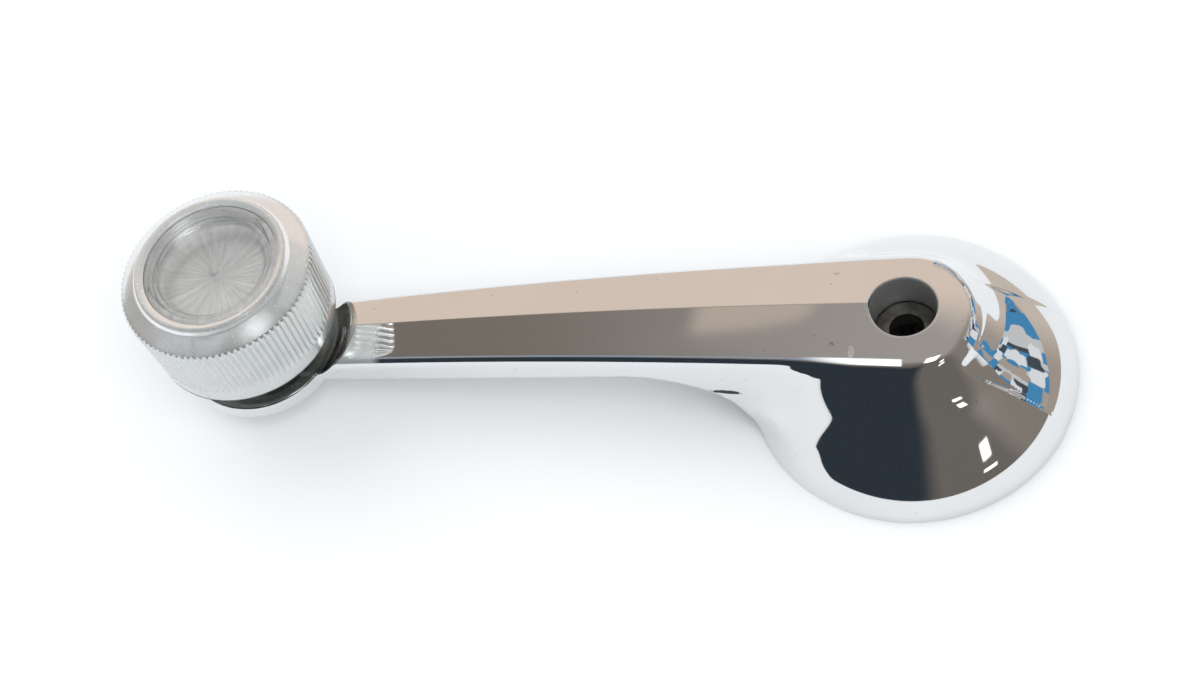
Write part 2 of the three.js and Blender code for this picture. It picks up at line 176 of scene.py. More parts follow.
def arm_shape(x, y, z):
    half = half_width(x)
    roof, edge = roof_height(x, y, half)
    draft = ARM_DRAFT + (NOSE_DRAFT - ARM_DRAFT) * ease(-19, -6.5, x)
    side = np.hypot(np.maximum(x, 0), y) - half
    wall = (side - draft * flank_depth(edge - z)) / np.sqrt(1 + draft * draft)
    blend = NOSE_EDGE_ROUND + (EDGE_ROUND - NOSE_EDGE_ROUND) * ease(6, 0, x)
    return smooth_max(wall, z - roof, blend)


def knob_side(x, y):
    return np.hypot(x + THROW, y)


def cove_shape(x, y, z):
    """The room round the knob: its wall is a hollow cove, wider towards the top."""
    rise = np.clip((z - PAD_TOP) / COVE_RISE, 0, 1.6)
    wall = PAD_R + 0.3 + COVE_WIDTH * rise * (1.4 - 0.4 * rise)
    return smooth_max((knob_side(x, y) - wall) * 0.75, PAD_TOP - z, 0.5)


def web_blend(x, y, z):
    """How far the arm's walls flow into the bell: widely behind the nose, below the edge."""
    edge = roof_height(x, y, half_width(x))[1]
    behind = ease(-4, -14, x) * ease(-1, 8, z) * ease(edge + 0.8, edge - 1.8, z)
    return NOSE_BLEND + (WEB_BLEND - NOSE_BLEND) * behind


def outside(points):
    """Distance from the outer skin of the casting, in millimetres: negative inside it."""
    x, y, z = points[:, 0], points[:, 1], points[:, 2]
    r = np.hypot(x, y)
    k = knob_side(x, y)
    bell = bell_shape(r, z)
    body = smooth_min(arm_shape(x, y, z), bell, web_blend(x, y, z))
    body = smooth_max(body, -arch_shape(x, z), 0.8)
    body = smooth_min(body, smooth_max(bell, -z, 0.5), 0.02 + 0.6 * ease(-12, -18, x))
    cove = cove_shape(x, y, z)
    body = smooth_max(body, -cove, 0.4)
    body = smooth_max(body, -THROW + PAD_R * 0.5 - x, 0.4)
    pad = smooth_max(k - PAD_R, np.abs(z - (PAD_LOW + PAD_TOP) / 2) - (PAD_TOP - PAD_LOW) / 2, 1.0)
    return smooth_min(body, pad, 0.9)


def casting(points):
    """The same for the whole casting, with its hollows and its bores."""
    x, y, z = points[:, 0], points[:, 1], points[:, 2]
    r = np.hypot(x, y)
    k = knob_side(x, y)
    bell = bell_shape(r, z)
    body = outside(points)
    # underside: a channel in the arm, the hollow of the bell round its boss
    half = half_width(x) - WALL
    roof, edge = roof_height(x, y, half_width(x))
    inner_wall = np.abs(y) - half - ARM_DRAFT * (edge - z)
    channel = smooth_max(inner_wall, z - roof + WALL, 1.6)
    channel = smooth_max(channel, -(k - PAD_R - WALL), 1.2)
    channel = smooth_max(channel, -bell, 0.8)
    nose_cone = (r - ARM_ROOT_HALF - NOSE_DRAFT * (edge - z)) / math.hypot(1, NOSE_DRAFT)
    channel = smooth_max(channel, -nose_cone, 0.8)
    hollow = smooth_max(bell_shape(r, z, WALL), z - CEILING, 2.0)
    hollow = smooth_max(hollow, -smooth_max(r - BOSS_R - BOSS_DRAFT * z, BOSS_LOW - z, 0.6), 2.4)
    # bores
    bore = smooth_max(r - BORE_R, SLEEVE_TOP - z, 0.3)
    sleeve = smooth_max(r - SLEEVE_BORE_R, z - SLEEVE_TOP, 0.3)
    tail = k - TAIL_R
    recess = smooth_max(k - RECESS_R, z - RECESS_TOP, 0.3)
    body = smooth_max(body, -channel, 0.6)
    body = smooth_max(body, -hollow, 0.7)
    for cut, blend in ((bore, 0.7), (sleeve, 0.4), (tail, 0.4), (recess, 0.4)):
        body = smooth_max(body, -cut, blend)
    return body


def gradient(points, surface=casting, step=0.01):
    slopes = np.empty_like(points)
    for axis in range(3):
        offset = np.zeros(3)
        offset[axis] = step
        slopes[:, axis] = (surface(points + offset) - surface(points - offset)) / (2 * step)
    return slopes


def settle(points, rounds, most=0.6, surface=casting):
    """Moves each point straight onto a surface, in short steps."""
    for _ in range(rounds):
        slopes = gradient(points, surface)
        steep = np.maximum((slopes ** 2).sum(1), 0.05)
        move = -(surface(points) / steep)[:, None] * slopes
        length = np.linalg.norm(move, axis=1, keepdims=True)
        points = points + move * np.minimum(1, most / np.maximum(length, 1e-9))
    return points


# ---- Making pieces -------------------------------------------------------------------

def new_piece(name, mesh, body, slot, *replaced):
    piece = bpy.data.objects.new(name, mesh)
    bpy.context.scene.collection.objects.link(piece)
    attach(piece, body)
    for node in replaced:
        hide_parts(node)
    return piece


def made_object(name, bm):
    """Turns a finished bmesh into an object of the scene."""
    mesh = bpy.data.meshes.new(name)
    bm.to_mesh(mesh)
    bm.free()
    made = bpy.data.objects.new(name, mesh)
    bpy.context.scene.collection.objects.link(made)
    return made


def set_points(bm, points):
    for vert, place in zip(bm.verts, points):
        vert.co = place


def get_points(bm):
    return np.array([vert.co for vert in bm.verts])


def remeshed(node, voxel):
    """A copy of a CAD node as an even skin of small quads, in millimetres."""
    source = bpy.data.objects.new("skin", frame["nodes"][node].data.copy())
    bpy.context.scene.collection.objects.link(source)
    bm = bmesh.new()
    bm.from_mesh(source.data)
    bmesh.ops.remove_doubles(bm, verts=bm.verts, dist=0.01 * MM)
    bmesh.ops.scale(bm, vec=(1 / MM,) * 3, verts=bm.verts)
    bm.to_mesh(source.data)
    bm.free()
    source.data.materials.clear()
    skin = source.modifiers.new("skin", "REMESH")
    skin.mode = "VOXEL"
    skin.voxel_size = voxel
    depsgraph = bpy.context.evaluated_depsgraph_get()
    mesh = bpy.data.meshes.new_from_object(source.evaluated_get(depsgraph))
    bpy.data.objects.remove(source)
    return mesh


def on_the_web(bm, points):
    """Marks the points of the outer skin where the arm flows into the bell."""
    bm.normal_update()
    facing = np.array([vert.normal for vert in bm.verts])
    outwards = (facing * gradient(points, outside)).sum(1) > 0.2
    x, y, z = points[:, 0], points[:, 1], points[:, 2]
    return outwards & (x < -4) & (x > -36) & (np.abs(y) > 5) & (z > 0.8)


def crank_casting():
    mesh = remeshed("crank_arm", SKIN_VOXEL)
    bm = bmesh.new()
    bm.from_mesh(mesh)
    points = get_points(bm)
    web = on_the_web(bm, points)
    points[web] = settle(points[web], 12, surface=outside)
    set_points(bm, settle(points, 8))
    for _ in range(3):
        bmesh.ops.smooth_vert(
            bm, verts=bm.verts, factor=0.5, use_axis_x=True, use_axis_y=True, use_axis_z=True)
        set_points(bm, settle(get_points(bm), 3))
    # rows of points along the ridge keep it crisp
    for y in RIDGE_ROWS:
        bmesh.ops.bisect_plane(
            bm, geom=bm.verts[:] + bm.edges[:] + bm.faces[:], dist=1e-4,
            plane_co=(0, y, 0), plane_no=(0, 1, 0))
    points = settle(get_points(bm), 3, most=0.2)
    points[:, 2] = np.maximum(points[:, 2], 0)
    set_points(bm, points)
    bmesh.ops.scale(bm, vec=(MM,) * 3, verts=bm.verts)
    for face in bm.faces:
        face.smooth = True
    bm.to_mesh(mesh)
    bm.free()
    mesh.name = "crank_casting"
    depth = np.clip((-outside(points) - UNDERSIDE_START) / UNDERSIDE_FADE, 0, 1)
    mesh.attributes.new("underside", "FLOAT", "POINT").data.foreach_set("value", depth)
    normals = gradient(points, step=0.02)
    normals /= np.maximum(np.linalg.norm(normals, axis=1, keepdims=True), 1e-9)
    mesh.normals_split_custom_set_from_vertices(normals.tolist())
    return mesh


# ---- Shader helpers --------------------------------------------------------------------

class Wire:
    """A shader value that can be used in ordinary arithmetic."""

    def __init__(self, finish, socket):
        self.finish = finish
        self.socket = socket

    def math(self, operation, *others):
        return self.finish.node("ShaderNodeMath", {"operation": operation}, self, *others)

    def __add__(self, other):
        return self.math("ADD", other)

    def __radd__(self, other):
        return self.math("ADD", other)

    def __sub__(self, other):
        return self.math("SUBTRACT", other)

    def __rsub__(self, other):
        return self.finish.node("ShaderNodeMath", {"operation": "SUBTRACT"}, other, self)

    def __mul__(self, other):
        return self.math("MULTIPLY", other)

    def __rmul__(self, other):
        return self.math("MULTIPLY", other)

    def __pow__(self, other):
        return self.math("POWER", other)

    def above(self, low, high):
        """0 below low, 1 above high, and smooth between."""
        settings = {"interpolation_type": "SMOOTHSTEP"}
        return self.finish.node("ShaderNodeMapRange", settings, self, low, high)


class Finish:
    """One material, with its principled shader and a short way to add nodes."""

    def __init__(self, name, **constants):
        self.material = bpy.data.materials.new(name)
        self.material.use_nodes = True
        self.tree = self.material.node_tree
        self.shader = self.tree.nodes["Principled BSDF"]
        for socket, value in constants.items():
            self.set(socket.replace("_", " "), value)

    def node(self, kind, settings=None, *values, output=0, **named):
        """Any node, from its type, its settings and its inputs by order or by name."""
        made = self.tree.nodes.new(kind)
        for key, value in (settings or {}).items():
            if key == "stops":
                self.set_stops(made.color_ramp, value)
            elif key == "hard":
                made.color_ramp.interpolation = "CONSTANT"
            else:
                setattr(made, key, value)
        for key, value in list(enumerate(values)) + list(named.items()):
            socket = made.inputs[key.replace("_", " ") if isinstance(key, str) else key]
            self.feed(socket, value)
        return Wire(self, made.outputs[output])

    def set_stops(self, ramp, stops):
        while len(ramp.elements) < len(stops):
            ramp.elements.new(1)
        for element, (place, colour) in zip(ramp.elements, stops):
            element.position = place
            element.color = (*colour, 1)

    def feed(self, socket, value):
        if isinstance(value, Wire):
            self.tree.links.new(value.socket, socket)
        else:
            socket.default_value = value

    def set(self, socket, value):
        self.feed(self.shader.inputs[socket], value)

    def place(self, *centre):
        """Object coordinates in millimetres, about a centre."""
        coords = self.node("ShaderNodeTexCoord", output="Object")
        shift = tuple(-c for c in centre) if centre else (0, 0, 0)
        return self.node("ShaderNodeMapping", {}, coords, shift, (0, 0, 0), (1 / MM,) * 3)

    def noise(self, vector, scale, detail=3.0):
        return self.node("ShaderNodeTexNoise", {}, output="Fac", Vector=vector, Scale=scale, Detail=detail)

    def mix(self, factor, a, b):
        made = self.tree.nodes.new("ShaderNodeMix")
        made.data_type = "RGBA"
        self.feed(made.inputs["Factor"], factor)
        for socket, colour in ((made.inputs[6], a), (made.inputs[7], b)):
            self.feed(socket, colour if isinstance(colour, Wire) else (*colour, 1))
        return Wire(self, made.outputs[2])

    def cells(self, vector, scale, output):
        return self.node("ShaderNodeTexVoronoi", {}, output=output, Vector=vector, Scale=scale)

    def split(self, vector):
        parted = self.node("ShaderNodeSeparateXYZ", {}, vector)
        return [Wire(self, socket) for socket in parted.socket.node.outputs]

    def join(self, x, y, z):
        return self.node("ShaderNodeCombineXYZ", {}, x, y, z)

    def blob(self, spot, centre, reach, ragged):
        """1 inside a small ragged spot of the given half-sizes, 0 outside it."""
        offset = self.node("ShaderNodeVectorMath", {"operation": "SUBTRACT"}, spot, centre)
        scaled = self.node("ShaderNodeVectorMath", {"operation": "DIVIDE"}, offset, reach)
        length = self.node("ShaderNodeVectorMath", {"operation": "LENGTH"}, scaled, output="Value")
        return 1 - (length + ragged * 0.9).above(1.2, 1.4)

    def hidden_side(self):
        """1 under the casting, where the plate is thin and dull: the casting's own attribute tells."""
        return self.node("ShaderNodeAttribute", {"attribute_name": "underside"}, output="Fac")

    def bump(self, height, strength, distance):
        normal = self.node("ShaderNodeBump", {}, Strength=strength, Distance=distance, Height=height)
        self.set("Normal", normal)
        return normal

    def blend_with(self, other, share):
        """Mixes a second shader into the material's own one."""
        ending = self.tree.nodes["Material Output"].inputs["Surface"]
        mixed = self.node("ShaderNodeMixShader", {}, share, Wire(self, self.shader.outputs[0]), other)
        self.feed(ending, mixed)


def paint(piece, finish):
    piece.data.materials.clear()
    piece.data.materials.append(finish.material)


# ---- Finishes ----------------------------------------------------------------------------

SPECK_SPACING = 0.55
CHIP = ((-27.4, -9.4, 11.6), (2.6, 2.0, 0.6))    # middle and half-sizes
SCUFF = ((-7.4, -7.4, 20.6), (0.6, 1.0, 2.0))
COVE_LEAN = 0.95         # how far the cove's wall leans out per millimetre of height


def chrome():
    """Polished plate with faint smudges and specks, a chip, and painted shade in the cove."""
    finish = Finish("chrome_plate", Metallic=1.0)
    spot = finish.place()
    x, y, z = finish.split(spot)
    cloud = finish.noise(spot, 0.08, 4)
    fine = finish.noise(spot, 1.6, 5)
    # specks of dirt: a few of the cells of a fine pattern hold one
    speck_near = finish.cells(spot, SPECK_SPACING, "Distance")
    speck_some = finish.split(finish.cells(spot, SPECK_SPACING, "Color"))[0].above(0.70, 0.72)
    speck = (1 - speck_near.above(0.05, 0.09)) * speck_some
    # painted shade: the cove under the knob gets a darker, rougher tone where shade falls
    around = ((x + THROW) * (x + THROW) + y * y) ** 0.5
    inside_cove = 1 - (around - COVE_LEAN * (z - PAD_TOP)).above(13.6, 13.9)
    grime_and_painted_shade = inside_cove * z.above(PAD_TOP - 0.5, PAD_TOP) * (1 - z.above(14.2, 16.4))
    # light scuffing of the facets next to the cove
    scoured = (1 - (x + 1.2 * fine).above(-84.2, -82.4)) * z.above(12.6, 13.4) * (1 - grime_and_painted_shade)
    scoured_near = scoured * (0 - y).above(0.0, 0.3)
    # a chip in the plate on the lower edge of the web, and a pale scuff near the hub
    chip = finish.blob(spot, *CHIP, fine)
    scuff = finish.blob(spot, *SCUFF, fine)
    bore = (1 - ((x * x + y * y) ** 0.5).above(5.15, 5.35)) * (1 - z.above(21.6, 22.0))
    under = bore.math("MAXIMUM", finish.hidden_side())
    plate = finish.mix(cloud, (0.72, 0.73, 0.735), (0.78, 0.79, 0.795))
    tone = finish.mix(speck, plate, (0.42, 0.40, 0.38))
    tone = finish.mix(scoured_near * 0.7, tone, (0.70, 0.75, 0.74))
    # painted shade: the dark tone in the cove under the knob
    tone = finish.mix(grime_and_painted_shade, tone, finish.mix(fine, (0.16, 0.17, 0.165), (0.34, 0.355, 0.345)))
    tone = finish.mix(scuff * 0.7, tone, (0.97, 0.97, 0.97))
    tone = finish.mix(chip, tone, (0.05, 0.05, 0.055))
    tone = finish.mix(under, tone, finish.mix(fine, (0.30, 0.305, 0.30), (0.48, 0.48, 0.475)))
    finish.set("Base Color", tone)
    finish.set("Metallic", 1 - 0.35 * under - 0.35 * scoured_near)
    finish.set("Roughness", 0.025 + 0.05 * cloud * fine + 0.2 * speck + 0.3 * scuff + 0.4 * chip
               + 0.38 * under + 0.12 * grime_and_painted_shade + 0.09 * scoured)
    finish.bump(fine * (chip * 2.0 + under * 1.5) - speck * 0.3, 0.35, 0.00005)
    return finish


def turned_metal(name, tone, dull, roughness, centre):
    """Metal turned on a lathe: fine rings round its axis, and a film of grime."""
    finish = Finish(name, Metallic=1.0)
    spot = finish.place(*centre)
    rings = finish.node("ShaderNodeTexWave", {"wave_type": "RINGS", "rings_direction": "SPHERICAL"},
                        Vector=spot, Scale=2.2, Distortion=0.6, Detail=2.0)
    rings = Wire(finish, rings.socket.node.outputs["Fac"])
    grime_and_painted_shade = finish.noise(spot, 0.5, 5)
    finish.set("Base Color", finish.mix(grime_and_painted_shade.above(0.35, 0.75), tone, dull))
    finish.set("Roughness", roughness + 0.2 * grime_and_painted_shade + 0.05 * rings)
    finish.bump(rings + 0.6 * finish.noise(spot, 3.0, 4), 0.25, 0.00004)
    return finish


def fibre():
    finish = Finish("black_fibre", Specular_IOR_Level=0.3)
    spot = finish.place()
    grain = finish.noise(spot, 5.0, 6)
    finish.set("Base Color", finish.mix(grain.above(0.4, 0.65), (0.028, 0.024, 0.021), (0.085, 0.072, 0.06)))
    finish.set("Roughness", 0.62 + 0.3 * grain)
    finish.bump(grain, 0.6, 0.00006)
    return finish


def acrylic(name, silver, haze, clear_tones):
    """Clear moulded acrylic that gleams like the silvering inside it, with fine scuffs."""
    finish = Finish(name, Transmission_Weight=1.0, IOR=1.49)
    spot = finish.place(-THROW, 0, 0)
    cloud = finish.noise(spot, 0.16, 4)
    scuffs = finish.noise(spot, 3.5, 6).above(0.55, 0.70)
    finish.set("Base Color", finish.mix(cloud, *clear_tones))
    finish.set("Roughness", haze + 0.10 * cloud + 0.16 * scuffs)
    bump = finish.bump(finish.noise(spot, 0.9, 3) + 0.5 * scuffs, 0.25, 0.00005)
    # painted light: the gleam gets a lighter tone on the top ring than on the knurled side
    top = finish.split(spot)[2].above(31.5, 32.4)
    side = finish.mix(cloud, (0.29, 0.315, 0.305), (0.41, 0.435, 0.42))
    tone = finish.mix(top, side, finish.mix(cloud, (0.62, 0.64, 0.635), (0.76, 0.775, 0.77)))
    gleam = finish.node("ShaderNodeBsdfPrincipled", Metallic=0.45, Roughness=0.2 + 0.1 * cloud, Normal=bump)
    finish.feed(gleam.socket.node.inputs["Base Color"], tone)
    finish.blend_with(gleam, silver + 0.1 * scuffs)
    return finish


def foil():
    """Silvering with pressed rays: narrow bright and dull streaks out from the middle."""
    finish = Finish("silver_foil", Metallic=0.4)
    spot = finish.place(-THROW, 0, 0)
    x, y, z = finish.split(spot)
    turn = y.math("ARCTAN2", x)
    streaks = finish.noise(finish.join(turn * 9.0, 0.0, (x * x + y * y) ** 0.5 * 0.12), 1.0, 6)
    cloud = finish.noise(spot, 0.25, 3)
    finish.set("Base Color", finish.mix(streaks.above(0.34, 0.68), (0.74, 0.725, 0.72), (0.97, 0.96, 0.955)))
    finish.set("Roughness", 0.22 + 0.2 * cloud)
    finish.bump(streaks, 0.5, 0.00010)
    return finish


# ---- Stage ------------------------------------------------------------------------------------

def look_camera():
    """The camera stands above the near side and a little to the right, as the picture was taken."""
    data = bpy.data.cameras.new("camera")
    data.sensor_width = 36
    data.lens = 63.54
    data.clip_start = 0.01
    camera = bpy.data.objects.new("camera", data)
    right = Vector((0.97211, 0.12080, -0.20103))
    up = Vector((-0.00204, 0.86149, 0.50778))
    back = right.cross(up)
    turn = Matrix((right, up, back)).transposed().to_4x4()
    camera.matrix_world = Matrix.Translation(Vector((30.05, -164.82, 292.14)) * MM) @ turn
    bpy.context.scene.collection.objects.link(camera)
    bpy.context.scene.camera = camera


def area_light(name, place, target, size, power):
    data = bpy.data.lights.new(name, "AREA")
    data.shape = "DISK"
    data.size = size
    data.energy = power
    light = bpy.data.objects.new(name, data)
    light.location = place
    light.visible_glossy = False
    light.rotation_euler = (Vector(target) - Vector(place)).to_track_quat("-Z", "Y").to_euler()
    bpy.context.scene.collection.objects.link(light)


def floor():
    bm = bmesh.new()
    bmesh.ops.create_grid(bm, x_segments=1, y_segments=1, size=3)
    piece = made_object("floor", bm)
    finish = Finish("floor", Roughness=0.9)
    finish.set("Base Color", (0.86, 0.87, 0.88, 1))
    paint(piece, finish)


def only_for_mirrors(piece):
    """Cards and walls round the stage show in the chrome, but never in front of the camera."""
    piece.visible_camera = False
    piece.visible_diffuse = False
    piece.visible_shadow = False
    piece.visible_transmission = False


def glow(name):
    """A finish that only glows, for what the chrome mirrors."""
    finish = Finish(name, Roughness=1.0, Base_Color=(0, 0, 0, 1), Emission_Strength=1.1)
    finish.material.cycles.emission_sampling = "NONE"
    return finish


def window(x, y, z, middle, half_sizes, soft=0.05):
    """1 in a soft-edged patch of directions round the middle one, 0 elsewhere."""
    inside = None
    for value, centre, half in zip((x, y, z), middle, half_sizes):
        if half is None:
            continue
        distance = (value - centre).math("ABSOLUTE")
        patch = 1 - distance.above(half - soft / 2, half + soft / 2)
        inside = patch if inside is None else inside * patch
    return inside


def room():
    """A shell round the stage that only mirrors see, so the chrome has a room to show.

    Its far wall is warm and pale, its ceiling brown, and the side behind the camera dark. Small
    windows of light stand in it for the streak on the arm's edge, the skylight and a lamp.
    """
    bm = bmesh.new()
    bmesh.ops.create_uvsphere(bm, u_segments=48, v_segments=24, radius=2.5)
    shell = made_object("room", bm)
    finish = glow("room")
    place = finish.node("ShaderNodeTexCoord", output="Object")
    unit = finish.node("ShaderNodeVectorMath", {"operation": "NORMALIZE"}, place)
    x, y, z = finish.split(unit)
    ceiling = finish.mix(x.above(-0.52, -0.10), (0.19, 0.165, 0.14), (0.37, 0.34, 0.315))
    patch = window(x, y, z, (-0.265, 0, 0), (0.048, None, None), 0.02)
    patch = patch * (y + 0.25 * (x + 0.25)).above(0.085, 0.090) * (1 - y.above(0.125, 0.14))
    ceiling = finish.mix(patch, ceiling, (0.52, 0.435, 0.37))
    wall = finish.mix(y.above(0.15, 0.75), ceiling, (0.76, 0.625, 0.53))
    side = finish.mix(x.above(0.55, 0.95) * (1 - y.above(0.35, 0.7)), wall, (0.24, 0.21, 0.18))
    low = finish.mix((0 - y).above(0.30, 0.55), side, (0.15, 0.135, 0.12))
    dark = (0 - y).above(0.45, 0.62) * (1 - x.above(0.05, 0.30)) * (1 - z.above(0.70, 0.82))
    low = finish.mix(dark, low, (0.022, 0.032, 0.042))
    thin = window(x, y, z, (-0.5, -0.40, 0), (0.33, 0.07, None), 0.06)
    low = finish.mix(thin, low, (0.30, 0.36, 0.44))
    streak = window(x, y, z, (-0.15, -0.40, 0), (0.045, 0.15, None), 0.06)
    low = finish.mix(streak, low, (1.5, 1.55, 1.55))
    skylight = window(x, y, z, (0.31, -0.35, 0), (0.13, 0.13, None), 0.08) * z.above(0.5, 0.6)
    low = finish.mix(skylight, low, (3.4, 3.5, 3.6))
    lamp = window(x, y, z, (0.69, -0.63, 0.395), (0.035, None, 0.045), 0.02)
    strip = window(x, y, z, (0.70, -0.66, 0.245), (0.05, None, 0.025), 0.02)
    low = finish.mix(lamp.math("MAXIMUM", strip), low, (2.6, 2.3, 2.0))
    finish.set("Emission Color", low)
    paint(shell, finish)
    only_for_mirrors(shell)


CARD_R = 62.0
CARD_FOOT = 0.5
CARD_HEIGHT = 50.0


def boxes_beside():
    """A low curved card behind and to the right, with plain coloured blocks, as of boxes there."""
    bm = bmesh.new()
    foot = [bm.verts.new((CARD_R * math.sin(a), -CARD_R * math.cos(a), CARD_FOOT))
            for a in np.radians(np.linspace(84, 172, 23))]
    edges = [bm.edges.new(pair) for pair in zip(foot, foot[1:])]
    grown = bmesh.ops.extrude_edge_only(bm, edges=edges)
    raised = [item for item in grown["geom"] if isinstance(item, bmesh.types.BMVert)]
    bmesh.ops.translate(bm, vec=(0, 0, CARD_HEIGHT), verts=raised)
    bmesh.ops.scale(bm, vec=(MM,) * 3, verts=bm.verts)
    card = made_object("boxes_beside", bm)
    finish = glow("boxes_beside")
    spot = finish.place()
    x, y, z = finish.split(spot)
    along = x.math("ARCTAN2", 0 - y) * CARD_R
    blocks = finish.node("ShaderNodeTexVoronoi", {"distance": "CHEBYCHEV"}, output="Color",
                         Vector=finish.join(along, z, 0.0), Scale=0.15, Randomness=0.8)
    pick = finish.split(blocks)[0]
    stops = [(0.0, (0.60, 0.60, 0.61)), (0.25, (0.06, 0.26, 0.50)), (0.5, (0.42, 0.36, 0.31)),
             (0.60, (0.78, 0.79, 0.81)), (0.80, (0.06, 0.07, 0.09))]
    tone = finish.node("ShaderNodeValToRGB", {"stops": stops, "hard": True}, pick)
    plain = finish.mix(along.above(110, 140), (0.38, 0.325, 0.28), (0.62, 0.53, 0.46))
    band = z.above(10, 10.3) * (1 - z.above(36, 36.5))
    finish.set("Emission Color", finish.mix(band, plain, tone))
    paint(card, finish)
    only_for_mirrors(card)


def world_light():
    bpy.context.scene.view_settings.view_transform = "Standard"
    world = bpy.data.worlds.new("world")
    bpy.context.scene.world = world
    world.use_nodes = True
    back = world.node_tree.nodes["Background"]
    back.inputs["Color"].default_value = (0.93, 0.95, 0.97, 1)
    back.inputs["Strength"].default_value = 0.9


# ---- The knob and what it turns on -----------------------------------------------------------

def ring_sizes(node):
    """Radius, foot and top of a round CAD node, in millimetres."""
    low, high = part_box(node)
    return (high[1] - low[1]) / 2 / MM, low[2] / MM, high[2] / MM


def softened(outline, closed):
    """Rounds the corners of an outline; a corner is (r, z) or (r, z, rounding)."""
    result = []
    count = len(outline)
    for i, corner in enumerate(outline):
        here = Vector(corner[:2])
        if len(corner) < 3 or (not closed and i in (0, count - 1)):
            result.append(tuple(here))
            continue
        before = (Vector(outline[i - 1][:2]) - here).normalized() * corner[2]
        after = (Vector(outline[(i + 1) % count][:2]) - here).normalized() * corner[2]
        for step in range(6):
            t = step / 5
            point = here + before * (1 - t) ** 2 + after * t ** 2
            result.append(tuple(point))
    return result


def turned(name, outline, steps=160, closed=True, shape=None):
    """Spins an outline round the knob's axis; shape may then move each point, in millimetres."""
    bm = bmesh.new()
    verts = [bm.verts.new((r, 0, z)) for r, z in softened(outline, closed)]
    ends = verts[1:] + verts[:1] if closed else verts[1:]
    edges = [bm.edges.new(pair) for pair in zip(verts, ends)]
    bmesh.ops.spin(bm, geom=verts + edges, cent=(0, 0, 0), axis=(0, 0, 1),
                   angle=2 * math.pi, steps=steps, use_merge=True)
    bmesh.ops.remove_doubles(bm, verts=bm.verts, dist=1e-4)
    bmesh.ops.recalc_face_normals(bm, faces=bm.faces)
    for vert in bm.verts:
        if shape:
            vert.co = shape(vert.co)
    bmesh.ops.scale(bm, vec=(MM,) * 3, verts=bm.verts)
    bmesh.ops.translate(bm, vec=(-THROW * MM, 0, 0), verts=bm.verts)
    for face in bm.faces:
        face.smooth = True
    mesh = bpy.data.meshes.new(name)
    bm.to_mesh(mesh)
    bm.free()
    return mesh


def weighted(piece):
    """Flat stretches stay flat in the shading, next to small rounded corners."""
    shading = piece.modifiers.new("shading", "WEIGHTED_NORMAL")
    shading.weight = 80
    shading.keep_sharp = True


KNURLS = 96
KNURL_DEPTH = 0.36
KNURL_LOW = 20.6         # a smooth band is left below the knurl
SHOULDER_Z = 31.9


def knurled(point):
    """Rounded ridges with narrow valleys, all round the side of the knob."""
    r = math.hypot(point.x, point.y)
    if r < 14.9 or not KNURL_LOW - 0.3 < point.z < SHOULDER_Z:
        return point
    angle = math.atan2(point.y, point.x)
    valley = 1 - abs(math.cos(KNURLS / 2 * angle))
    start = min(1, max(0, (point.z - KNURL_LOW + 0.3) / 0.6))
    reach = 1 - KNURL_DEPTH * start * valley / r
    return Vector((point.x * reach, point.y * reach, point.z))


RAY_FACE_Z = ring_sizes("knob_reflector")[1] + 0.5


def knob_body():
    r, foot, top = ring_sizes("knob_body")
    bushing_r, _, bushing_top = ring_sizes("knob_bushing")
    lens_r = ring_sizes("knob_lens")[0]
    pocket_floor = ring_sizes("knob_reflector")[1] - 0.3
    flange_room = bushing_r + 0.3
    bore = flange_room - 1.8
    chamber = ring_sizes("knob_spindle")[0] + 0.4
    knurl_height = SHOULDER_Z - 0.45 - KNURL_LOW
    side = [(float(r - 0.5 + 0.49 * t), float(KNURL_LOW + knurl_height * t)) for t in np.linspace(0.03, 1, 9)]
    outline = [
        (flange_room, foot, 0.15), (flange_room + 2.1, foot, 0.5), (flange_room + 2.7, foot + 2.3, 1.0),
        (r - 1.1, foot + 3.6, 0.9), (r - 0.52, foot + 4.3, 0.5), (r - 0.5, KNURL_LOW - 0.6),
        (r - 0.5, KNURL_LOW - 0.3), *side,
        (r - 0.12, SHOULDER_Z - 0.12), (r - 0.45, SHOULDER_Z + 0.1, 0.1), (r - 1.7, SHOULDER_Z + 1.05, 1.2),
        (12.75, SHOULDER_Z + 1.72, 0.2), (12.4, top - 0.2, 0.25),
        (12.0, top - 0.02, 0.25), (11.5, top - 0.1, 0.2), (lens_r + 0.04, top - 0.4, 0.1),
        (lens_r + 0.04, pocket_floor, 0.2), (chamber, pocket_floor, 0.2), (chamber, bushing_top),
        (bore, bushing_top), (bore, foot + 1.3), (flange_room, foot + 1.3),
    ]
    return turned("knob_body", outline, steps=KNURLS * 8, shape=knurled)


def knob_lens():
    r, foot, top = ring_sizes("knob_lens")
    outline = [
        (0, foot), (r, foot, 0.15), (r, top - 0.05, 0.3), (10.0, top - 0.05, 0.3),
        (9.5, top - 0.55, 0.15), (9.1, top - 0.65, 0.15), (8.75, top - 1.1, 0.15),
        (8.35, top - 1.35, 0.3), (6.2, top - 1.78, 0.8), (3.4, top - 2.05, 0.8),
        (1.0, top - 2.12, 0.2), (0.6, top - 1.75, 0.2), (0, top - 1.6),
    ]
    return turned("knob_lens", outline, closed=False)


def rays(point):
    """Presses the upper face of the reflector into narrow rays that fade at the middle."""
    r = math.hypot(point.x, point.y)
    if point.z < RAY_FACE_Z - 0.1 or not 0.4 < r < 8.8:
        return point
    angle = math.atan2(point.y, point.x)
    lift = abs(math.cos(19 * angle)) * 0.6 + 0.4 * math.cos(31 * angle) ** 2
    fade = min(1, (r - 0.4) / 2.5) * min(1, (8.8 - r) / 1.2)
    return Vector((point.x, point.y, point.z - 0.09 * lift * fade))


